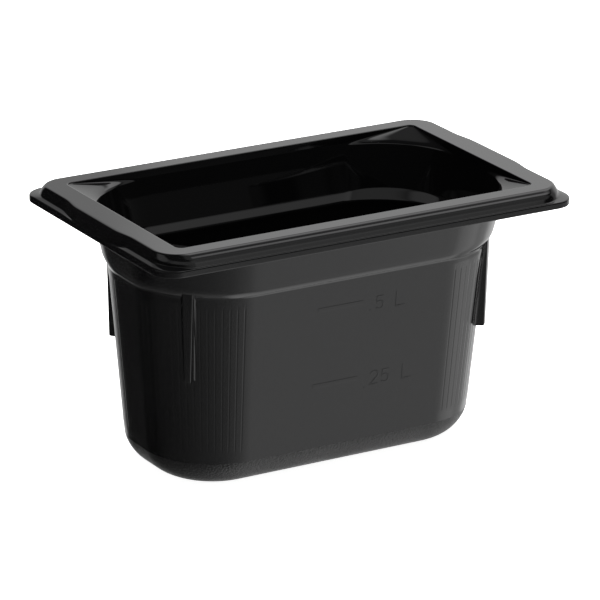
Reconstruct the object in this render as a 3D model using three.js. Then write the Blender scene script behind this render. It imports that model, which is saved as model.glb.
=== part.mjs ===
// Ninth-size deli food pan: one injection moulding in black plastic, built as its moulded zones.
// Millimetres, +Z up, +X along the long side, origin at the middle of the underside.
import * as THREE from "three";

// ---- driving dimensions -------------------------------------------------------------------
const LENGTH = 176; // over the rim lip, the standard ninth size
const WIDTH = 108;
const DEPTH = 102.5; // rim top to underside
const WALL = 2.5; // moulded thickness
const DRAFT = 0.0864; // inward run of the basin wall for each millimetre down
const CORNER_STEPS = 10; // facets in each rounded corner
const END_STEPS = 12; // facets along each short side, which carries the bulge of the seat
const SIDE_STEPS = 4; // facets along each long side

// Depths below the rim top at which the shape changes
const KNEE_DEPTH = 1.75; // where the skirt turns from sloping to steep
const BAND_ROOT_DEPTH = 3.1; // underside of the seat, where the band hangs from it
const SHELF_FOOT = 3.2; // where the sloping corner shelves of the mouth reach the wall
const GROOVE_DEPTH = 4;
const LIP_TOP = 4.2;
const SKIRT_ROOF = 4.4; // inside of the skirt under the seat's edge
const LIP_BOTTOM = 6.8;
const BAND_TOP_DEPTH = 7.3;
const LEDGE_TOP = 20.7;
const BAND_LOW_DEPTH = 21.2; // from here the band curves in to the shoulder
const BAND_CURL_DEPTH = 23.1;
const SHOULDER = 24.35;
const STEP_FOOT = 24.9; // where the step under the shoulder meets the wall
const WALL_TOP = 25.5;
const BASE_TANGENT = 88; // where the wall starts to turn into the base
const GRAIN_LINE = 91.3; // top of the textured base
const LUG_FOOT = 57.4;

// Rounded-rectangle outlines: half length, half width, corner radius
const OPENING = { l: 75.5, w: 42.3, r: 2.5 };
const SEAT_INNER = { l: 76.4, w: 43.2, r: 3.4 };
const SEAT_EDGE = { l: 84.3, w: 49.05, r: 9.4 };
const KNEE = { l: 85, w: 51.9, r: 11.5 };
const GROOVE = { l: 85.7, w: 52.9, r: 12.6 };
const LIP_EDGE = { l: LENGTH / 2, w: WIDTH / 2, r: 8.5 };
const SKIRT_INSIDE = { l: 85.6, w: 51.8, r: 6.8 };
const BAND_ROOT = { l: 78, w: 44.8, r: 5 };
const BAND_TOP = { l: 77.4, w: 44, r: 34.5 };
const BAND_LOW = { l: 75, w: 40.45, r: 32.4 };
const BAND_CURL = { l: 74.65, w: 39.95, r: 34 };
const SHOULDER_EDGE = { l: 74.35, w: 39.5, r: 35.2 };
const SHELF_EDGE = { l: 75.1, w: 41.8, r: 30.5 };
const LEDGE_EDGE = { l: 72.2, w: 37.5, r: 29.4 };
const WALL_HEAD = { l: 73.3, w: 38.4, r: 32.4 };
const WALL_RADIUS_AT_BASE = 28.2;
const BASE_RADIUS = DEPTH - BASE_TANGENT;

// Small roundings
const SEAT_ROUND = 0.8;
const MOUTH_ROUND = 0.5;
const INNER_ROUND = 0.35;
const OUTER_ROUND = 0.3;
const ARC_MIDDLE = 1 - Math.SQRT1_2; // inset of a quarter round's middle, as a share of its radius

// The seat bulges outwards in the middle of each short side
const SEAT_BULGE = 1.2;
const SKIRT_BULGE = 1.8;
const SKIRT_SLANT = 1.6; // how much narrower the skirt's inside is at its roof
const BULGE_FLAT = 14; // half length of the full bulge
const BULGE_END = 26; // where it has died away

// Stacking lugs, one on each corner's diagonal
const LUG_HEAD_WIDTH = 4;
const LUG_FOOT_WIDTH = 2.35;
const LUG_ROOT_EXTRA = 1.2; // how much wider a lug is at the wall than at its face
const LUG_HEAD_REACH = 66.9; // distance from the axis along the diagonal
const LUG_FOOT_REACH = 66.1;
const TRIM_GAP = 0.05; // clearance between the wall and what stands on it

// Raised volume lines on the front wall
const FILL_LINES = [
  { name: "half_litre", depth: 35.6, left: -14.1 },
  { name: "quarter_litre", depth: 66.05, left: -14.4 },
];
const FILL_LINE_LENGTH = 19.2;
const FILL_LINE_HEIGHT = 1.5;
const FILL_LINE_PROUD = 0.25;

// ---- outlines and lofts -------------------------------------------------------------------
const smooth = (t) => t * t * (3 - 2 * t);

function bulgeAt(y) {
  const share = (BULGE_END - Math.abs(y)) / (BULGE_END - BULGE_FLAT);
  return smooth(THREE.MathUtils.clamp(share, 0, 1));
}

// One level of a loft: an outline moved in by `inset`, at a depth below the rim top.
function level(outline, depth, inset = 0, bulge = 0) {
  return {
    l: outline.l - inset,
    w: outline.w - inset,
    r: Math.max(outline.r - inset, 0.5),
    z: DEPTH - depth,
    bulge,
  };
}

// Points of a level, anticlockwise seen from above, starting at the -Y end of the +X side.
function ring({ l, w, r, z, bulge }) {
  const points = [];
  const across = l - r;
  const along = w - r;
  const corner = (cx, cy, startAngle) => {
    for (let i = 0; i < CORNER_STEPS; i++) {
      const a = startAngle + (i / CORNER_STEPS) * (Math.PI / 2);
      points.push([cx + r * Math.cos(a), cy + r * Math.sin(a)]);
    }
  };
  const side = (x0, y0, x1, y1, steps) => {
    for (let i = 0; i < steps; i++) {
      const t = i / steps;
      points.push([x0 + (x1 - x0) * t, y0 + (y1 - y0) * t]);
    }
  };
  side(l, -along, l, along, END_STEPS);
  corner(across, along, 0);
  side(across, w, -across, w, SIDE_STEPS);
  corner(-across, along, Math.PI / 2);
  side(-l, along, -l, -along, END_STEPS);
  corner(-across, -along, Math.PI);
  side(-across, -w, across, -w, SIDE_STEPS);
  corner(across, -along, 1.5 * Math.PI);
  return points.map(([x, y]) => {
    const push = Math.abs(x) > l - 1 ? bulge * bulgeAt(y) : 0;
    return new THREE.Vector3(x + Math.sign(x) * push, y, z);
  });
}

// Skin through a list of levels. A closed section makes a ring; an open one is capped flat.
function loft(levels, closed) {
  const rings = levels.map(ring);
  const count = rings[0].length;
  const vertices = rings.flat();
  const faces = [];
  const bands = closed ? rings.length : rings.length - 1;
  for (let j = 0; j < bands; j++) {
    const here = j * count;
    const next = ((j + 1) % rings.length) * count;
    for (let i = 0; i < count; i++) {
      const k = (i + 1) % count;
      faces.push(here + i, here + k, next + k, here + i, next + k, next + i);
    }
  }
  if (!closed) {
    const last = (rings.length - 1) * count;
    const first = vertices.push(new THREE.Vector3(0, 0, levels[0].z)) - 1;
    const end = vertices.push(new THREE.Vector3(0, 0, levels.at(-1).z)) - 1;
    for (let i = 0; i < count; i++) {
      const k = (i + 1) % count;
      faces.push(first, k, i);
      faces.push(end, last + i, last + k);
    }
  }
  return new THREE.BufferGeometry().setFromPoints(vertices).setIndex(faces);
}

// Solid through a stack of equal polygons, each an array of Vector3, from the top one down.
function stack(polygons) {
  const count = polygons[0].length;
  const last = (polygons.length - 1) * count;
  const faces = [];
  for (let i = 2; i < count; i++) {
    faces.push(0, i - 1, i);
    faces.push(last, last + i, last + i - 1);
  }
  for (let j = 0; j < polygons.length - 1; j++) {
    for (let i = 0; i < count; i++) {
      const k = (i + 1) % count;
      const here = j * count;
      const next = here + count;
      faces.push(here + i, next + i, next + k, here + i, next + k, here + k);
    }
  }
  return new THREE.BufferGeometry().setFromPoints(polygons.flat()).setIndex(faces);
}

// ---- outlines worked out from the driving ones --------------------------------------------
const wallRun = BASE_TANGENT - WALL_TOP;
const wallFoot = {
  l: WALL_HEAD.l - DRAFT * wallRun,
  w: WALL_HEAD.w - DRAFT * wallRun,
  r: WALL_RADIUS_AT_BASE,
};
const innerWallHead = { l: WALL_HEAD.l - WALL, w: WALL_HEAD.w - WALL, r: WALL_HEAD.r - WALL };
const innerWallFoot = { l: wallFoot.l - WALL, w: wallFoot.w - WALL, r: wallFoot.r - WALL };

// ---- zones --------------------------------------------------------------------------------
// Flat ring on which a lid sits, between the mouth's rounded edge and the skirt.
function rimSeat() {
  return loft(
    [
      level(SEAT_INNER, 0),
      level(SEAT_INNER, WALL),
      level(SEAT_EDGE, WALL, 0, SEAT_BULGE),
      level(SEAT_EDGE, SEAT_ROUND, 0, SEAT_BULGE),
      level(SEAT_EDGE, SEAT_ROUND * ARC_MIDDLE, SEAT_ROUND * ARC_MIDDLE, SEAT_BULGE),
      level(SEAT_EDGE, 0, SEAT_ROUND, SEAT_BULGE),
    ],
    true,
  );
}

// Sloping face, groove and outer lip that hang from the seat's edge.
function rimSkirt() {
  return loft(
    [
      level(SEAT_EDGE, SEAT_ROUND, 0, SEAT_BULGE),
      level(SEAT_EDGE, WALL, 0, SEAT_BULGE),
      level(SKIRT_INSIDE, SKIRT_ROOF, SKIRT_SLANT, SEAT_BULGE),
      level(SKIRT_INSIDE, LIP_BOTTOM),
      level(LIP_EDGE, LIP_BOTTOM, OUTER_ROUND),
      level(LIP_EDGE, LIP_BOTTOM - OUTER_ROUND),
      level(LIP_EDGE, LIP_TOP + OUTER_ROUND),
      level(LIP_EDGE, LIP_TOP, OUTER_ROUND),
      level(GROOVE, GROOVE_DEPTH, 0, SEAT_BULGE),
      level(KNEE, KNEE_DEPTH + OUTER_ROUND / 2, -OUTER_ROUND, SKIRT_BULGE),
      level(KNEE, KNEE_DEPTH - OUTER_ROUND / 2, OUTER_ROUND, SKIRT_BULGE),
    ],
    true,
  );
}

// Flared band from the mouth down to the stacking shoulder, with the ledge inside it.
function stackingBand() {
  return loft(
    [
      level(SEAT_INNER, 0),
      level(OPENING, MOUTH_ROUND / 2, -MOUTH_ROUND / 2),
      level(OPENING, MOUTH_ROUND),
      level(SHELF_EDGE, SHELF_FOOT),
      level(SHELF_EDGE, SHELF_FOOT + 2 * INNER_ROUND, INNER_ROUND),
      level(LEDGE_EDGE, LEDGE_TOP),
      level(LEDGE_EDGE, LEDGE_TOP + INNER_ROUND, INNER_ROUND),
      level(innerWallHead, SHOULDER - INNER_ROUND, -INNER_ROUND),
      level(innerWallHead, SHOULDER + INNER_ROUND),
      level(innerWallHead, WALL_TOP),
      level(WALL_HEAD, WALL_TOP),
      level(WALL_HEAD, STEP_FOOT, -OUTER_ROUND),
      level(SHOULDER_EDGE, SHOULDER),
      level(BAND_CURL, BAND_CURL_DEPTH),
      level(BAND_LOW, BAND_LOW_DEPTH),
      level(BAND_TOP, BAND_TOP_DEPTH),
      level(BAND_ROOT, BAND_ROOT_DEPTH),
      level(BAND_ROOT, WALL),
      level(SEAT_INNER, WALL),
    ],
    true,
  );
}

// Insets of the quarter-round that turns the wall into the base, from depth `top` downwards.
function baseTurn(outline, radius, top, steps) {
  const startAngle = Math.asin((top - BASE_TANGENT) / radius);
  return Array.from({ length: steps + 1 }, (_, i) => {
    const angle = startAngle + (i / steps) * (Math.PI / 2 - startAngle);
    const inset = radius * (1 - Math.cos(angle));
    return level(outline, BASE_TANGENT + radius * Math.sin(angle), inset);
  });
}

const TURN_STEPS = 7;
const outerTurn = baseTurn(wallFoot, BASE_RADIUS, GRAIN_LINE, TURN_STEPS);
const innerTurn = baseTurn(innerWallFoot, BASE_RADIUS - WALL, GRAIN_LINE, TURN_STEPS);

// Drafted wall between the band and the textured base.
function basinWall() {
  return loft(
    [
      level(innerWallHead, WALL_TOP),
      level(innerWallFoot, BASE_TANGENT),
      innerTurn[0],
      outerTurn[0],
      level(wallFoot, BASE_TANGENT),
      level(WALL_HEAD, WALL_TOP),
    ],
    true,
  );
}

// Base with its large rounded edge, solid between the inner floor and the flat underside.
function basinFloor() {
  return loft([...outerTurn.toReversed(), ...innerTurn], false);
}

// Rib on a corner's diagonal that fills the step under the shoulder and runs down the wall.
function stackingLug(signX, signY) {
  const root2 = Math.SQRT2;
  const shift = (WALL_HEAD.l - WALL_HEAD.w) / root2; // the corner centres lie off the diagonal
  const wallReach = (depth) => {
    const share = (depth - WALL_TOP) / wallRun;
    const l = THREE.MathUtils.lerp(WALL_HEAD.l, wallFoot.l, share);
    const w = THREE.MathUtils.lerp(WALL_HEAD.w, wallFoot.w, share);
    const r = THREE.MathUtils.lerp(WALL_HEAD.r, wallFoot.r, share);
    return (l + w - 2 * r) / root2 + r + TRIM_GAP;
  };
  const section = (depth) => {
    const share = (depth - SHOULDER) / (LUG_FOOT - SHOULDER);
    const outer = THREE.MathUtils.lerp(LUG_HEAD_REACH, LUG_FOOT_REACH, share);
    const faceWidth = THREE.MathUtils.lerp(LUG_HEAD_WIDTH, LUG_FOOT_WIDTH, share);
    const rootWidth = faceWidth + LUG_ROOT_EXTRA;
    const corners = [
      [wallReach(depth), -rootWidth / 2],
      [outer, -faceWidth / 2],
      [outer, faceWidth / 2],
      [wallReach(depth), rootWidth / 2],
    ];
    const points = corners.map(([reach, across]) => {
      const x = (reach + shift - across) / root2;
      const y = (reach - shift + across) / root2;
      return new THREE.Vector3(signX * x, signY * y, DEPTH - depth);
    });
    return signX * signY > 0 ? points : points.toReversed();
  };
  return stack([WALL_TOP + TRIM_GAP, LUG_FOOT].map(section));
}

// Raised bar on the front wall, following its draft.
function fillLine(depth, left) {
  const polygon = (below) => {
    const front = -(WALL_HEAD.w - DRAFT * (below - WALL_TOP)) - TRIM_GAP;
    const right = left + FILL_LINE_LENGTH;
    return [
      [left, front - FILL_LINE_PROUD],
      [right, front - FILL_LINE_PROUD],
      [right, front],
      [left, front],
    ].map(([x, y]) => new THREE.Vector3(x, y, DEPTH - below));
  };
  return stack([depth - FILL_LINE_HEIGHT / 2, depth + FILL_LINE_HEIGHT / 2].map(polygon));
}

// ---- the pan ------------------------------------------------------------------------------
const gloss = () => new THREE.MeshStandardMaterial({ color: 0x0b0b0c, roughness: 0.18, metalness: 0 });
const grain = () => new THREE.MeshStandardMaterial({ color: 0x0d0d0e, roughness: 0.55, metalness: 0 });

const pan = new THREE.Group();

function add(name, geometry, material) {
  geometry.computeVertexNormals();
  const mesh = new THREE.Mesh(geometry, material);
  mesh.name = name;
  pan.add(mesh);
}

add("rim_seat", rimSeat(), gloss());
add("rim_skirt", rimSkirt(), gloss());
add("stacking_band", stackingBand(), gloss());
add("basin_wall", basinWall(), gloss());
add("basin_floor", basinFloor(), grain());
for (const [endName, signX] of [["left", -1], ["right", 1]]) {
  for (const [sideName, signY] of [["front", -1], ["back", 1]]) {
    add(`stacking_lug_${sideName}_${endName}`, stackingLug(signX, signY), gloss());
  }
}
for (const { name, depth, left } of FILL_LINES) {
  add(`fill_line_${name}`, fillLine(depth, left), gloss());
}

export default pan;
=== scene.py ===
"""Ninth-size deli food pan in black polycarbonate: one glossy injection moulding on a pale studio floor.

Outlines are rounded rectangles given by half length, half width and corner radius in millimetres, at
depths below the rim top. A piece is a closed loop of such outlines, skinned and rounded at its corners.
"""
import math

import bpy
import numpy as np
from mathutils import Matrix, Vector


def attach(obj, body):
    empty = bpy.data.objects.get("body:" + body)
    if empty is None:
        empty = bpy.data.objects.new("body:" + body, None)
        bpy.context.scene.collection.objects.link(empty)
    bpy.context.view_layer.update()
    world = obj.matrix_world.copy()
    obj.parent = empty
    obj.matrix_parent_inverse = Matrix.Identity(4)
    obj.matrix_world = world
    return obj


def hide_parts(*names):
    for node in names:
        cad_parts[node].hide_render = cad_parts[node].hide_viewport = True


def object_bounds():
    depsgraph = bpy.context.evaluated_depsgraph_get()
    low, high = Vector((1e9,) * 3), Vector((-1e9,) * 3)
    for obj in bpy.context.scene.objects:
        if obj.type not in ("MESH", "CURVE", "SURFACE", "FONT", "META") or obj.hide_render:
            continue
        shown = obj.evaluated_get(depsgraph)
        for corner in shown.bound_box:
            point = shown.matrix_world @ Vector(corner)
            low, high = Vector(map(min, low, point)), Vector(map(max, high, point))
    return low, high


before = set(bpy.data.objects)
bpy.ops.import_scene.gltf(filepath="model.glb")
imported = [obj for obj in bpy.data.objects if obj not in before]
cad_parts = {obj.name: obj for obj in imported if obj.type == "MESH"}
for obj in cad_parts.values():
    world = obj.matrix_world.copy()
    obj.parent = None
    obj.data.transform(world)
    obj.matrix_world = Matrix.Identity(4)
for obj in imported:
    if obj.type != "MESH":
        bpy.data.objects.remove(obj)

MM = 0.001
cad_low, cad_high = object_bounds()
TOP = cad_high.z / MM
HALF_LENGTH = cad_high.x / MM
HALF_WIDTH = cad_high.y / MM


# ---- driving dimensions, millimetres; depths are below the rim top -------------------------
WALL = 2.5  # moulded thickness
LIP_TOP = 4.3
LIP_BOTTOM = 6.8
LIP_CORNER = 8.5
SHELF_TOP = 0.5  # the sloping shelves in the corners of the mouth
SHELF_FOOT = 3.2
LEDGE_TOP = 20.7
SHOULDER = 24.35
BAND_CUT = 27.0  # where the band's piece ends and the wall's begins
WALL_TOP = 25.5
WALL_HEAD = (73.3, 38.4, 32.4)  # outline of the wall at its top
WALL_FOOT_RADIUS = 28.2
DRAFT = 0.0864  # inward run of the wall for each millimetre down
BASE_TANGENT = 88.0  # where the wall starts to turn into the base
BASE_RADIUS = TOP - BASE_TANGENT
GRAIN_LINE = 91.3  # top of the textured base
TURN_LEAD = 1.6  # first step of the turn, with how far the wall has drawn in there
OUTER_LEAD_INSET = 0.09
INNER_LEAD_INSET = 0.11

# The seat bulges outwards in the middle of each short side
BULGE_FLAT = 14.0  # half length of the full bulge
BULGE_END = 26.0  # where it has died away

# Stacking lugs: reaches are distances from the pan's axis along the corner's diagonal
LUG_HEAD = 21.4
LUG_FOOT = 57.4
LUG_HEAD_REACH = 66.9
LUG_FOOT_REACH = 66.1
LUG_HEAD_FACE = 4.0
LUG_FOOT_FACE = 2.35
LUG_HEAD_ROOT = 4.9
LUG_FOOT_ROOT = 3.7
LUG_SKIRT = 1.2  # width on the wall over which a lug sinks into it
LUG_SUNK = 0.09
LUG_FILLET = 0.8
LUG_EDGE = 0.35
LUG_TIP = ((0.5, 0.0), (0.12, 0.1), (0.0, 0.4))  # height above the foot, and how far the face draws in
ROOT2 = math.sqrt(2)

# Volume marks on the front wall: depth and left end of the bar, then each letter with its left edge
# and the drop of its foot below the middle of the bar
HALF_LITRE_DEPTH = 35.6
HALF_LITRE_LEFT = -14.1
HALF_LITRE_LETTERS = ((".", 8.2, 4.2), ("5", 10.6, 4.2), ("L", 19.2, 4.3))
QUARTER_LITRE_DEPTH = 66.05
QUARTER_LITRE_LEFT = -14.4
QUARTER_LITRE_LETTERS = ((".", 7.7, 5.0), ("2", 10.2, 4.1), ("5", 15.1, 4.0), ("L", 24.1, 4.1))
MARK_LENGTH = 19.2
MARK_WIDTH = 1.5
MARK_HEIGHT = 0.1
LETTER_WIDTH = 0.45
LETTER_HEIGHT = 0.11
LETTER_SCALE = 1.12
MARK_SUNK = 0.05
MARK_MARGIN = 0.08
MITRE_LIMIT = 0.6  # smallest cosine that a stroke's bend is mitred by

# Flutes on the corners of the wall: their spacing and width are angles in degrees
FLUTE_STEP = 5.0
FLUTE_FIRST = 7.5
FLUTE_COUNT = 16
FLUTE_HALF_WIDTH = 0.45
FLUTE_DEPTH = 0.27
FLUTE_TOP = 29.8
FLUTE_FOOT = 86.0
FLUTE_TOP_FADE = 0.4
FLUTE_FOOT_FADE = 0.6

# Mesh density
ROUND_STEPS = 6  # faces along each rounded corner of a profile
ROUND_HOLD = 0.2  # where the leg beyond a rounding is held flat, as a share of its reach
ROUND_SHARE = 0.96  # the most of a leg that its two roundings take up
TURN_STEPS = 24
CORNER_STEP = 2.5  # degrees between columns
END_COLUMNS = 40
SIDE_COLUMNS = 24
FLUTE_MARGINS = (0, 1.5, 3, 4.5, 5.7, 84.3, 85.5, 87, 88.5)  # degrees, columns beyond the flutes


# ---- outlines -----------------------------------------------------------------------------
def level(length, width, radius, depth, soft=0.0, bulge=0.0, lift=0.0, flute=0.0):
    """An outline at a depth. soft is the length of profile that its corner is rounded over, or None for
    a sharp edge. bulge pushes the middle of the ends out, lift raises the ends beside it, and flute is
    the share of the full depth of the flutes."""
    return {"shape": np.array([length, width, radius, depth, bulge, lift, flute], float), "soft": soft}


def plain_angles():
    count = round(90 / CORNER_STEP)
    return [i * 90 / count for i in range(count)]


def fluted_angles():
    """Corner columns with a narrow groove at every flute line and a flat facet between two lines."""
    offsets = (-2 * FLUTE_HALF_WIDTH, -FLUTE_HALF_WIDTH, 0, FLUTE_HALF_WIDTH, 2 * FLUTE_HALF_WIDTH)
    lines = [FLUTE_FIRST + i * FLUTE_STEP for i in range(FLUTE_COUNT)]
    grooves = [line + offset for line in lines for offset in offsets]
    middles = [line + FLUTE_STEP / 2 for line in lines[:-1]]
    return sorted(grooves + middles + list(FLUTE_MARGINS))


def column_list(angles):
    """Columns round an outline, anticlockwise from the front end of the +X side."""
    columns = []
    for quarter in range(4):
        steps = END_COLUMNS if quarter % 2 == 0 else SIDE_COLUMNS
        columns += [("side", quarter, i / steps) for i in range(steps)]
        columns += [("corner", quarter, angle) for angle in angles]
    return columns


def smooth(t):
    """Smooth step from 0 to 1 as t goes from 0 to 1."""
    t = min(max(t, 0.0), 1.0)
    return t * t * (3 - 2 * t)


def flute_radius(angle, radius):
    """Radius of a fluted corner at an angle: facets between lines that are cut as narrow grooves."""
    last = FLUTE_FIRST + (FLUTE_COUNT - 1) * FLUTE_STEP
    if angle < FLUTE_FIRST - 2 * FLUTE_HALF_WIDTH or angle > last + 2 * FLUTE_HALF_WIDTH:
        return radius
    cell = (angle - FLUTE_FIRST) % FLUTE_STEP
    groove = max(0.0, 1 - min(cell, FLUTE_STEP - cell) / FLUTE_HALF_WIDTH)
    inside = FLUTE_FIRST <= angle <= last
    facet = math.cos(math.radians(FLUTE_STEP / 2)) / math.cos(math.radians(cell - FLUTE_STEP / 2))
    return radius * (facet if inside else 1) - FLUTE_DEPTH * groove


def ring(shape, columns):
    """Points of an outline in metres."""
    length, width, radius, depth, bulge, lift, flute = shape
    across, along = length - radius, width - radius
    centres = ((across, along), (-across, along), (-across, -along), (across, -along))
    starts = ((length, -along), (across, width), (-length, along), (-across, -width))
    ends = ((length, along), (-across, width), (-length, -along), (across, -width))
    points = []
    for kind, quarter, value in columns:
        if kind == "side":
            x = starts[quarter][0] * (1 - value) + ends[quarter][0] * value
            y = starts[quarter][1] * (1 - value) + ends[quarter][1] * value
            endness = 1.0 if quarter % 2 == 0 else 0.0
        else:
            reach = radius + flute * (flute_radius(value, radius) - radius)
            angle = math.radians(90 * quarter + value)
            x = centres[quarter][0] + reach * math.cos(angle)
            y = centres[quarter][1] + reach * math.sin(angle)
            endness = 1 - smooth(value / 90) if quarter % 2 == 0 else smooth(value / 90)
        push = smooth((BULGE_END - abs(y)) / (BULGE_END - BULGE_FLAT)) * endness
        x += math.copysign(bulge * push, x)
        z = TOP - depth + lift * endness * (1 - push)
        points.append((x * MM, y * MM, z * MM))
    return points


def rounded(corners, softs, closed, measure=np.linalg.norm):
    """Corners with each soft one turned into a short curve, and a list that says which are sharp.
    measure gives the length of the leg between two corners, in the unit of the softs. A point held just
    beyond each end of a curve keeps the shading of the leg flat up to it."""
    points, sharp = [], []
    count = len(corners)
    for i, (here, soft) in enumerate(zip(corners, softs)):
        at_end = not closed and i in (0, count - 1)
        if not soft or at_end:
            points.append(here)
            sharp.append(soft is None)
            continue
        legs, holds = [], []
        for other in (i - 1, (i + 1) % count):
            leg = corners[other] - here
            limit = ROUND_SHARE * soft / (soft + softs[other]) if softs[other] else 1.0
            reach = min(soft / measure(leg), limit)
            held = reach * (1 + ROUND_HOLD)
            legs.append(here + leg * reach)
            holds.append([here + leg * held] if held < limit else [])
        curve = []
        for j in range(ROUND_STEPS + 1):
            t = j / ROUND_STEPS
            curve.append((1 - t) ** 2 * legs[0] + 2 * t * (1 - t) * here + t**2 * legs[1])
        curve = holds[0] + curve + holds[1]
        points += curve
        sharp += [False] * len(curve)
    return points, sharp


def profile_length(leg):
    """Length of the leg between two levels, along the steeper of the long and the short side."""
    return max(math.hypot(leg[0], leg[3]), math.hypot(leg[1], leg[3]))


def loft(profile, columns, closed=True):
    """Vertices, faces and sharp edges of the skin through a profile. An open one is capped at its ends."""
    corners = [item["shape"] for item in profile]
    softs = [item["soft"] for item in profile]
    shapes, sharp = rounded(corners, softs, closed, profile_length)
    vertices = [point for shape in shapes for point in ring(shape, columns)]
    count, rows = len(columns), len(shapes)
    faces, edges = [], []
    for j in range(rows if closed else rows - 1):
        here, there = j * count, (j + 1) % rows * count
        for i in range(count):
            k = (i + 1) % count
            faces.append((here + i, here + k, there + k, there + i))
    for j in range(rows):
        if sharp[j]:
            edges += [(j * count + i, j * count + (i + 1) % count) for i in range(count)]
    if not closed:
        for row, turned in ((0, True), (rows - 1, False)):
            loop = [row * count + i for i in range(count)]
            centre = len(vertices)
            vertices.append((0.0, 0.0, vertices[loop[0]][2]))
            for i in range(count):
                a, b = loop[i], loop[(i + 1) % count]
                faces.append((centre, b, a) if turned else (centre, a, b))
    return vertices, faces, edges


def add_piece(name, node, parts, material):
    """A mesh object from (vertices, faces, sharp edges) lists, riding on the pan's one body in place of
    a CAD node."""
    vertices, faces, edges = [], [], []
    for part_vertices, part_faces, part_edges in parts:
        start = len(vertices)
        vertices += part_vertices
        faces += [tuple(start + i for i in face) for face in part_faces]
        edges += [tuple(sorted((start + a, start + b))) for a, b in part_edges]
    mesh = bpy.data.meshes.new(name)
    mesh.from_pydata(vertices, [], faces)
    mesh.validate()
    mesh.shade_smooth()
    wanted = set(edges)
    if wanted:
        flags = [tuple(sorted(e.vertices)) in wanted for e in mesh.edges]
        attribute = mesh.attributes.new("sharp_edge", "BOOLEAN", "EDGE")
        attribute.data.foreach_set("value", flags)
    mesh.materials.append(material)
    piece = bpy.data.objects.new(name, mesh)
    bpy.context.scene.collection.objects.link(piece)
    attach(piece, "root")
    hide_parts(node)


# ---- materials; scales are per metre and heights in metres ---------------------------------
POLYCARBONATE_IOR = 1.585
BLACKS = ((0.0016, 0.0016, 0.0017, 1), (0.0030, 0.0030, 0.0031, 1))
CLOUD_SCALE = 60.0  # slow change of colour and polish over a face
WAVE_SCALE = 90.0  # faint waviness of a moulded face
WAVE_STRENGTH = 0.25
WAVE_HEIGHT = 0.00002
GRAIN_SCALE = 1250.0
GRAIN_HEIGHT = 0.0004
GLOSS_ROUGHNESS = (0.03, 0.055)
GRAIN_ROUGHNESS = (0.3, 0.4)
NOISE_RANGE = (0.3, 0.7)  # the part of a noise that is spread over a range of roughness


def new_material(name):
    material = bpy.data.materials.new(name)
    material.use_nodes = True
    return material, material.node_tree.nodes, material.node_tree.links


def add_noise(nodes, links, scale, detail=3.0, roughness=0.5):
    coordinates = nodes.new("ShaderNodeTexCoord")
    noise = nodes.new("ShaderNodeTexNoise")
    noise.inputs["Scale"].default_value = scale
    noise.inputs["Detail"].default_value = detail
    noise.inputs["Roughness"].default_value = roughness
    links.new(coordinates.outputs["Object"], noise.inputs["Vector"])
    return noise.outputs["Fac"]


def add_range(nodes, links, noise, low, high):
    """A noise spread from low to high."""
    mapped = nodes.new("ShaderNodeMapRange")
    mapped.inputs["From Min"].default_value = NOISE_RANGE[0]
    mapped.inputs["From Max"].default_value = NOISE_RANGE[1]
    mapped.inputs["To Min"].default_value = low
    mapped.inputs["To Max"].default_value = high
    links.new(noise, mapped.inputs["Value"])
    return mapped.outputs["Result"]


def add_bump(nodes, links, height, strength, distance, normal=None):
    bump = nodes.new("ShaderNodeBump")
    bump.inputs["Strength"].default_value = strength
    bump.inputs["Distance"].default_value = distance
    links.new(height, bump.inputs["Height"])
    if normal is not None:
        links.new(normal, bump.inputs["Normal"])
    return bump.outputs["Normal"]


def black_plastic(name, roughness, textured):
    """Black polycarbonate, polished or with a moulded grain, within a range of roughness."""
    material, nodes, links = new_material(name)
    shader = nodes["Principled BSDF"]
    shader.inputs["IOR"].default_value = POLYCARBONATE_IOR
    cloud = add_noise(nodes, links, CLOUD_SCALE)
    colour = nodes.new("ShaderNodeValToRGB")
    for element, black in zip(colour.color_ramp.elements, BLACKS):
        element.color = black
    links.new(cloud, colour.inputs["Fac"])
    links.new(colour.outputs["Color"], shader.inputs["Base Color"])
    links.new(add_range(nodes, links, cloud, *roughness), shader.inputs["Roughness"])
    waves = add_noise(nodes, links, WAVE_SCALE, detail=1.0)
    normal = add_bump(nodes, links, waves, WAVE_STRENGTH, WAVE_HEIGHT)
    if textured:
        grain = add_noise(nodes, links, GRAIN_SCALE, detail=2.0, roughness=0.6)
        normal = add_bump(nodes, links, grain, 1.0, GRAIN_HEIGHT, normal)
    links.new(normal, shader.inputs["Normal"])
    return material


gloss = black_plastic("gloss_black_plastic", GLOSS_ROUGHNESS, textured=False)
grained = black_plastic("grained_black_plastic", GRAIN_ROUGHNESS, textured=True)


# ---- rim ----------------------------------------------------------------------------------
PLAIN_COLUMNS = column_list(plain_angles())
FLUTED_COLUMNS = column_list(fluted_angles())

seat_inner = level(77.2, 44.0, 4.2, 0.0, None)
seat_under = level(77.2, 44.0, 4.2, WALL, None)
seat_edge = level(84.3, 49.05, 9.4, 0.0, 0.8, bulge=1.2)
slope_cut = level(84.65, 50.4, 10.0, 0.95, None, bulge=1.6)
slope_under = level(83.0, 48.5, 8.5, WALL + 0.4, None, bulge=1.3)
knee = level(85.2, 52.0, 11.5, 1.95, 1.1, bulge=2.0)
groove = level(85.9, 53.0, 13.0, 4.2, 0.35, bulge=1.5, lift=0.7)
lip_top = level(HALF_LENGTH, HALF_WIDTH, LIP_CORNER, LIP_TOP, 0.45)
lip_bottom = level(HALF_LENGTH, HALF_WIDTH, LIP_CORNER, LIP_BOTTOM, 0.35)
lip_inside = level(85.7, 51.7, 7.3, LIP_BOTTOM, 0.3)
hollow_side = level(84.4, 50.6, 8.0, 4.9, 0.6, bulge=0.8)

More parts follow.
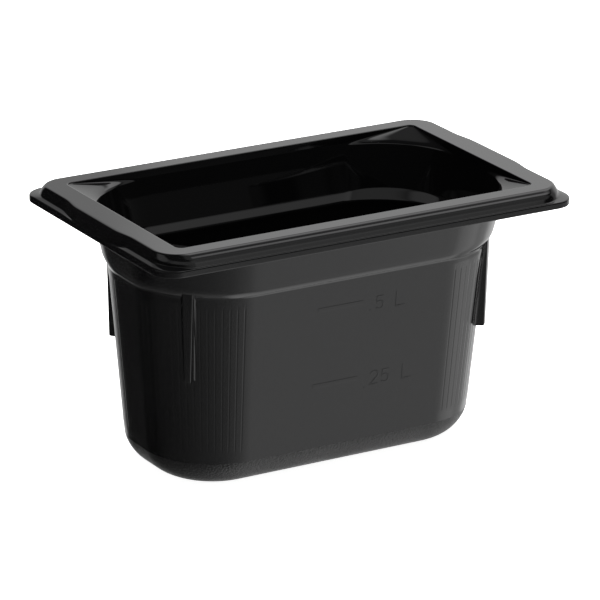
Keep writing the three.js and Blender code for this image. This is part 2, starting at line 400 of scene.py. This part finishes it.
seat = loft([seat_inner, seat_under, slope_under, slope_cut, seat_edge], PLAIN_COLUMNS)
skirt = loft(
    [slope_cut, slope_under, hollow_side, lip_inside, lip_bottom, lip_top, groove, knee],
    PLAIN_COLUMNS,
)
add_piece("pan_rim_seat", "rim_seat", [seat], gloss)
add_piece("pan_rim_skirt", "rim_skirt", [skirt], gloss)


# ---- stacking band ------------------------------------------------------------------------
mouth_edge = level(75.5, 42.3, 2.5, 0.0, 0.5)
shelf_top = level(75.45, 42.25, 2.4, SHELF_TOP, 0.25)
shelf_foot = level(75.05, 41.75, 30.5, SHELF_FOOT, 0.8)
ledge_edge = level(72.2, 37.5, 29.4, LEDGE_TOP, 0.7)
ledge_foot = level(70.85, 35.95, 30.0, SHOULDER, 0.7)
inner_cut = level(70.75, 35.85, 29.9, BAND_CUT, None)
wall_cut = level(73.2, 38.3, 32.3, BAND_CUT, None)
step_foot = level(73.4, 38.4, 32.6, WALL_TOP, 0.2)
step_under = level(73.75, 38.75, 33.1, 24.75, 0.1)
shoulder_edge = level(74.2, 39.3, 34.7, SHOULDER, 0.25)
band_curl = level(74.6, 39.95, 33.8, 23.0, 0.9)
band_low = level(75.0, 40.45, 33.3, 21.2, 0.8)
band_top = level(77.4, 44.0, 34.5, 7.0, 1.0)
band_root = level(78.0, 44.8, 5.0, WALL + 0.5, 0.8)

inside = [mouth_edge, shelf_top, shelf_foot, ledge_edge, ledge_foot, inner_cut]
outside = [wall_cut, step_foot, step_under, shoulder_edge, band_curl, band_low, band_top, band_root]
band = loft([seat_inner, *inside, *outside, seat_under], PLAIN_COLUMNS)
add_piece("pan_band", "stacking_band", [band], gloss)


# ---- basin --------------------------------------------------------------------------------
def wall_level(depth, inset=0.0, flute=0.0):
    """The wall's outline at a depth, drawn in by the draft and by an inset."""
    share = (depth - WALL_TOP) / (BASE_TANGENT - WALL_TOP)
    run = DRAFT * (depth - WALL_TOP)
    length, width, head_radius = WALL_HEAD
    radius = head_radius + (WALL_FOOT_RADIUS - head_radius) * share
    return level(length - run - inset, width - run - inset, radius - inset, depth, flute=flute)


def base_turn(inset, turn_radius):
    """Levels of the quarter round from the wall to the flat of the base, from the grain line down."""
    first = math.asin((GRAIN_LINE - BASE_TANGENT) / turn_radius)
    length, width, radius = wall_level(BASE_TANGENT, inset)["shape"][:3]
    levels = []
    for i in range(TURN_STEPS + 1):
        angle = first + i / TURN_STEPS * (math.pi / 2 - first)
        drawn = turn_radius * (1 - math.cos(angle))
        depth = BASE_TANGENT + turn_radius * math.sin(angle)
        levels.append(level(length - drawn, width - drawn, radius - drawn, depth))
    levels[0]["soft"] = None
    return levels


outer_turn = base_turn(0.0, BASE_RADIUS)
inner_turn = base_turn(WALL, BASE_RADIUS - WALL)
wall = [
    wall_cut,
    inner_cut,
    wall_level(BASE_TANGENT, WALL),
    wall_level(BASE_TANGENT + TURN_LEAD, WALL + INNER_LEAD_INSET),
    inner_turn[0],
    outer_turn[0],
    wall_level(BASE_TANGENT + TURN_LEAD, OUTER_LEAD_INSET),
    wall_level(BASE_TANGENT),
    wall_level(FLUTE_FOOT + FLUTE_FOOT_FADE),
    wall_level(FLUTE_FOOT, flute=0.5),
    wall_level(FLUTE_TOP, flute=1.0),
    wall_level(FLUTE_TOP - FLUTE_TOP_FADE),
]
base = loft(outer_turn[::-1] + inner_turn, PLAIN_COLUMNS, closed=False)
add_piece("pan_wall", "basin_wall", [loft(wall, FLUTED_COLUMNS)], gloss)
add_piece("pan_base", "basin_floor", [base], grained)


# ---- stacking lugs ------------------------------------------------------------------------
def lug_section(depth, reach, face, root):
    """Points (across, reach) of a lug at a depth, rounded at its edges and filleted onto the wall."""
    length, width, radius = wall_level(depth)["shape"][:3]
    centre = (length + width - 2 * radius) / ROOT2

    def on_wall(across):
        return centre + math.sqrt(radius**2 - across**2)

    half = [
        (root / 2 + LUG_SKIRT, on_wall(root / 2 + LUG_SKIRT) - LUG_SUNK, 0.0),
        (root / 2, on_wall(root / 2), LUG_FILLET),
        (face / 2, reach, LUG_EDGE),
    ]
    corners = half + [(-across, out, soft) for across, out, soft in half[::-1]]
    points = [np.array(corner[:2]) for corner in corners]
    return rounded(points, [corner[2] for corner in corners], False)[0]


def lug(sign_x, sign_y):
    """Rib on a corner's diagonal, from inside the band down the wall, where it stands proud."""
    length, width = shoulder_edge["shape"][:2]
    shift = (length - width) / ROOT2
    levels = [(LUG_HEAD, LUG_HEAD_REACH, 0)]
    levels += [(LUG_FOOT - rise, LUG_FOOT_REACH - drawn, 1) for rise, drawn in LUG_TIP]
    vertices, faces = [], []
    for depth, reach, share in levels:
        face = LUG_HEAD_FACE + (LUG_FOOT_FACE - LUG_HEAD_FACE) * share
        root = LUG_HEAD_ROOT + (LUG_FOOT_ROOT - LUG_HEAD_ROOT) * share
        for across, out in lug_section(depth, reach, face, root):
            x = (out + shift - across) / ROOT2
            y = (out - shift + across) / ROOT2
            vertices.append((sign_x * x * MM, sign_y * y * MM, (TOP - depth) * MM))
    count = len(vertices) // len(levels)
    last = len(vertices) - count
    for j in range(len(levels) - 1):
        for i in range(count):
            k = (i + 1) % count
            faces.append((j * count + i, (j + 1) * count + i, (j + 1) * count + k, j * count + k))
    faces.append(tuple(range(count)))
    faces.append(tuple(range(len(vertices) - 1, last - 1, -1)))
    if sign_x * sign_y < 0:
        faces = [face[::-1] for face in faces]
    edges = [(start + i, start + (i + 1) % count) for start in (0, last) for i in range(count)]
    return vertices, faces, edges


for end_name, sign_x in (("left", -1), ("right", 1)):
    for side_name, sign_y in (("front", -1), ("back", 1)):
        corner = f"{side_name}_{end_name}"
        add_piece(f"lug_{corner}", f"stacking_lug_{corner}", [lug(sign_x, sign_y)], gloss)


# ---- volume marks -------------------------------------------------------------------------
def front_point(x, height, proud):
    """A point of the front wall, with x and the height above the base in millimetres."""
    width = wall_level(TOP - height)["shape"][1]
    return (x * MM, -(width + proud) * MM, height * MM)


def arc(centre, radii, start, end, steps=10):
    """Points of an elliptical arc between two angles in degrees."""
    points = []
    for i in range(steps + 1):
        angle = math.radians(start + (end - start) * i / steps)
        points.append((centre[0] + radii[0] * math.cos(angle), centre[1] + radii[1] * math.sin(angle)))
    return points


GLYPHS = {
    ".": [(0.0, 0.4), (0.5, 0.4)],
    "2": arc((1.7, 3.7), (1.5, 1.3), 165, -40) + [(0.2, 0.3), (3.3, 0.3)],
    "5": [(3.1, 4.8), (0.6, 4.8), (0.4, 2.6)] + arc((1.5, 1.7), (1.5, 1.4), 130, -140),
    "L": [(0.3, 5.5), (0.3, 0.3), (3.8, 0.3)],
}


def stroke(path, width, height):
    """Closed raised bead along a path on the front wall, with a flat top and bevelled sides."""
    half = width / 2
    section = [
        (-half - height, -MARK_SUNK),
        (-half, height),
        (-half + MARK_MARGIN, height),
        (half - MARK_MARGIN, height),
        (half, height),
        (half + height, -MARK_SUNK),
    ]
    points = [Vector(point) for point in path]
    vertices, faces = [], []
    for i, point in enumerate(points):
        before = (point - points[max(i - 1, 0)]).normalized()
        after = (points[min(i + 1, len(points) - 1)] - point).normalized()
        along = (before + after).normalized()
        straight = after if before.length == 0 else before
        mitre = 1 / max(along.dot(straight), MITRE_LIMIT)
        side = Vector((-along.y, along.x)) * mitre
        for across, proud in section:
            place = point + side * across
            vertices.append(front_point(place.x, place.y, proud))
    count = len(section)
    last = len(vertices) - count
    for j in range(len(points) - 1):
        for i in range(count):
            k = (i + 1) % count
            faces.append((j * count + i, j * count + k, (j + 1) * count + k, (j + 1) * count + i))
    faces.append(tuple(range(count - 1, -1, -1)))
    faces.append(tuple(range(last, last + count)))
    edges = [(start + i, start + (i + 1) % count) for start in (0, last) for i in range(count)]
    return vertices, faces, edges


def volume_mark(depth, left, letters):
    """A bar at a depth, and the letters beside it."""
    height = TOP - depth
    parts = [stroke([(left, height), (left + MARK_LENGTH, height)], MARK_WIDTH, MARK_HEIGHT)]
    for letter, x, drop in letters:
        path = [(x + a * LETTER_SCALE, height - drop + b * LETTER_SCALE) for a, b in GLYPHS[letter]]
        parts.append(stroke(path, LETTER_WIDTH, LETTER_HEIGHT))
    return parts


half_litre = volume_mark(HALF_LITRE_DEPTH, HALF_LITRE_LEFT, HALF_LITRE_LETTERS)
quarter_litre = volume_mark(QUARTER_LITRE_DEPTH, QUARTER_LITRE_LEFT, QUARTER_LITRE_LETTERS)
add_piece("half_litre_mark", "fill_line_half_litre", half_litre, gloss)
add_piece("quarter_litre_mark", "fill_line_quarter_litre", quarter_litre, gloss)


# ---- stage --------------------------------------------------------------------------------
FLOOR_HALF = 4.0
FLOOR_WHITE = (0.88, 0.88, 0.88, 1)
FLOOR_ROUGHNESS = 0.9
FLOOR_GLOW = 0.95
SOFTBOX_SIZE = 2.4
SOFTBOX_WATTS = 100.0
SOFTBOX_PLACE = (0.3, 0.2, 2.2)


def add_floor():
    """Pale floor. Its underside is clear, so that a view from below still shows the pan."""
    mesh = bpy.data.meshes.new("studio_floor")
    corners = [(x * FLOOR_HALF, y * FLOOR_HALF, 0) for x, y in ((-1, -1), (1, -1), (1, 1), (-1, 1))]
    mesh.from_pydata(corners, [], [(0, 1, 2, 3)])
    material, nodes, links = new_material("studio_floor")
    shader = nodes["Principled BSDF"]
    shader.inputs["Base Color"].default_value = FLOOR_WHITE
    shader.inputs["Roughness"].default_value = FLOOR_ROUGHNESS
    shader.inputs["Emission Color"].default_value = (1, 1, 1, 1)
    shader.inputs["Emission Strength"].default_value = FLOOR_GLOW
    clear = nodes.new("ShaderNodeBsdfTransparent")
    sides = nodes.new("ShaderNodeMixShader")
    geometry = nodes.new("ShaderNodeNewGeometry")
    links.new(geometry.outputs["Backfacing"], sides.inputs["Fac"])
    links.new(shader.outputs["BSDF"], sides.inputs[1])
    links.new(clear.outputs["BSDF"], sides.inputs[2])
    links.new(sides.outputs["Shader"], nodes["Material Output"].inputs["Surface"])
    mesh.materials.append(material)
    floor = bpy.data.objects.new("studio_floor", mesh)
    bpy.context.scene.collection.objects.link(floor)
    floor.visible_glossy = False


def add_key_light():
    """Large overhead softbox that lights the floor. The reflections come from the world."""
    light = bpy.data.lights.new("overhead_softbox", "AREA")
    light.shape = "DISK"
    light.size = SOFTBOX_SIZE
    light.energy = SOFTBOX_WATTS
    lamp = bpy.data.objects.new("overhead_softbox", light)
    lamp.location = SOFTBOX_PLACE
    lamp.visible_glossy = False
    lamp.visible_camera = False
    bpy.context.scene.collection.objects.link(lamp)


# ---- world --------------------------------------------------------------------------------
# Directions are azimuth and elevation in degrees: azimuth 0 is to the front, -Y, and 90 is +X.
TABLE_HEADING = (65, 0)  # the side on which the white table is brightest
TABLE_EDGE = (-12, -26)  # elevations between which the table comes in
TABLE_LIGHT = (  # cosine of the angle to that heading, and the brightness there
    (-0.87, 0.04),
    (-0.4, 0.14),
    (0.0, 0.21),
    (0.3, 0.31),
    (0.55, 0.5),
    (0.72, 0.78),
    (0.87, 0.95),
)

# Round lights: azimuth, elevation, angle of the full light, angle at which it ends, strength
BACKDROP = (142, 0, 36, 52, 0.6)
SHEET = (115, 15, 32, 42, 0.34)
FRONT_WINDOW = (-20, 18, 30, 62, 0.3)
SIDE_WINDOW = (-102, 36, 12, 28, 0.4)
LIGHTS = (
    (0, -90, 4, 26, 0.12),  # table, straight below
    (70, -66, 6, 20, 0.8),  # table, close by on the right
    (64, -36, 5, 20, 0.38),  # table, farther out on the right
    (30, 24, 3, 11, 0.3),  # low in front, on the right
    (-155, -22, 15, 45, -0.06),  # darker patch of the table, behind on the left
    (117, 51, 10, 20, 1.5),  # lamp, high on the right
    (48, 42, 12, 26, 0.3),  # ceiling, in front on the right
    (88, 64, 8, 20, 0.22),  # ceiling, on the right
    (150, 46, 4, 12, 0.12),  # ceiling, behind
)
SHEET_EDGE = (151.05, 0.6)  # azimuth at which the sheet ends, and the softness of its edge
BACKDROP_TOP = (38, 33)  # elevations between which the backdrop comes in, from above
WINDOW_SILL = (17, 22)
WINDOW_HEAD = (58, 48)
DARK_ROOM = 0.012


def sine(degrees):
    return math.sin(math.radians(degrees))


def heading(azimuth, elevation):
    """Unit vector of a direction."""
    a, e = math.radians(azimuth), math.radians(elevation)
    return Vector((math.sin(a) * math.cos(e), -math.cos(a) * math.cos(e), math.sin(e)))


class WorldPainter:
    """Node helpers that add up light by direction."""

    def __init__(self, tree):
        self.nodes, self.links = tree.nodes, tree.links
        self.direction = self.nodes.new("ShaderNodeTexCoord").outputs["Generated"]
        split = self.nodes.new("ShaderNodeSeparateXYZ")
        self.links.new(self.direction, split.inputs[0])
        self.height = split.outputs["Z"]

    def maths(self, operation, a, b):
        node = self.nodes.new("ShaderNodeMath")
        node.operation = operation
        for socket, value in zip(node.inputs, (a, b)):
            if isinstance(value, (int, float)):
                socket.default_value = value
            else:
                self.links.new(value, socket)
        return node.outputs[0]

    def along(self, azimuth, elevation):
        """Cosine of the angle to a heading."""
        node = self.nodes.new("ShaderNodeVectorMath")
        node.operation = "DOT_PRODUCT"
        self.links.new(self.direction, node.inputs[0])
        node.inputs[1].default_value = heading(azimuth, elevation)
        return node.outputs["Value"]

    def step(self, source, low, high, strength=1.0):
        """Smooth step from nothing at low to a strength at high."""
        node = self.nodes.new("ShaderNodeMapRange")
        node.interpolation_type = "SMOOTHSTEP"
        for name, value in (("From Min", low), ("From Max", high), ("To Min", 0.0), ("To Max", strength)):
            node.inputs[name].default_value = value
        self.links.new(source, node.inputs["Value"])
        return node.outputs["Result"]

    def lobe(self, azimuth, elevation, inner, outer, strength):
        """Soft round light: full within the inner angle of its heading, nothing beyond the outer one."""
        low, high = math.cos(math.radians(outer)), math.cos(math.radians(inner))
        return self.step(self.along(azimuth, elevation), low, high, strength)

    def climb(self, start, end):
        """Smooth step from nothing at the start elevation to one at the end elevation."""
        return self.step(self.height, sine(start), sine(end))

    def before(self, azimuth, softness):
        """One on the side of an azimuth where azimuths are smaller, zero on the other."""
        spread = sine(softness)
        return self.step(self.along(azimuth - 90, 0), -spread, spread)

    def total(self, parts):
        result = parts[0]
        for part in parts[1:]:
            result = self.maths("ADD", result, part)
        return result


def table_light(paint):
    """White table, lit from the right and falling off to the left."""
    table = paint.nodes.new("ShaderNodeValToRGB")
    ramp = table.color_ramp
    while len(ramp.elements) < len(TABLE_LIGHT):
        ramp.elements.new(0.5)
    for element, (cosine, light) in zip(ramp.elements, TABLE_LIGHT):
        element.position = (cosine + 1) / 2
        element.color = (light, light, light, 1)
    half = paint.maths("MULTIPLY", paint.along(*TABLE_HEADING), 0.5)
    paint.links.new(paint.maths("ADD", half, 0.5), table.inputs["Fac"])
    return paint.maths("MULTIPLY", table.outputs["Color"], paint.climb(*TABLE_EDGE))


def backdrop_light(paint):
    """White backdrop behind the pan, with a brighter sheet on its right."""
    sheet = paint.maths("MULTIPLY", paint.lobe(*SHEET), paint.before(*SHEET_EDGE))
    whole = paint.maths("ADD", paint.lobe(*BACKDROP), sheet)
    return paint.maths("MULTIPLY", whole, paint.climb(*BACKDROP_TOP))


def window_light(paint):
    """Windows in front and on the left, cut to one band between the sill and the head."""
    panes = paint.maths("ADD", paint.lobe(*FRONT_WINDOW), paint.lobe(*SIDE_WINDOW))
    opening = paint.maths("MULTIPLY", paint.climb(*WINDOW_SILL), paint.climb(*WINDOW_HEAD))
    return paint.maths("MULTIPLY", panes, opening)


def add_world():
    """Surroundings that the glossy pan reflects. To the camera they are plain white."""
    world = bpy.data.worlds.new("studio")
    world.use_nodes = True
    tree = world.node_tree
    paint = WorldPainter(tree)
    lobes = [paint.lobe(*light) for light in LIGHTS]
    light = paint.total([table_light(paint), backdrop_light(paint), *lobes, window_light(paint)])
    light = paint.maths("MAXIMUM", light, 0.0)
    light = paint.maths("ADD", light, DARK_ROOM)

    paths = tree.nodes.new("ShaderNodeLightPath")
    shown = tree.nodes.new("ShaderNodeMix")
    tree.links.new(paths.outputs["Is Camera Ray"], shown.inputs["Factor"])
    tree.links.new(light, shown.inputs["A"])
    shown.inputs["B"].default_value = 1.0
    background = tree.nodes["Background"]
    tree.links.new(shown.outputs["Result"], background.inputs["Color"])
    bpy.context.scene.world = world


add_floor()
add_key_light()
add_world()
bpy.context.scene.view_settings.view_transform = "Standard"


# ---- camera -------------------------------------------------------------------------------
CAMERA_AZIMUTH = 31.0854  # degrees, from the front towards the left end
CAMERA_ELEVATION = 19.636
CAMERA_ROLL = -0.7348
CAMERA_DISTANCE = 1.70168
CAMERA_AIM = Vector((-0.0069399, -0.0126745, 0.0620350))
CAMERA_LENS = 276.0
CAMERA_SENSOR = 36.0
CAMERA_REACH = 20.0

camera_data = bpy.data.cameras.new("camera")
camera_data.lens = CAMERA_LENS
camera_data.sensor_width = CAMERA_SENSOR
camera_data.clip_end = CAMERA_REACH
camera = bpy.data.objects.new("camera", camera_data)
bpy.context.scene.collection.objects.link(camera)
back = heading(-CAMERA_AZIMUTH, CAMERA_ELEVATION)
right = heading(90 - CAMERA_AZIMUTH, 0)
up = back.cross(right)
axes = Matrix((right, up, back)).transposed().to_4x4()
place = Matrix.Translation(CAMERA_AIM + back * CAMERA_DISTANCE)
camera.matrix_world = place @ axes @ Matrix.Rotation(-math.radians(CAMERA_ROLL), 4, "Z")
bpy.context.scene.camera = camera
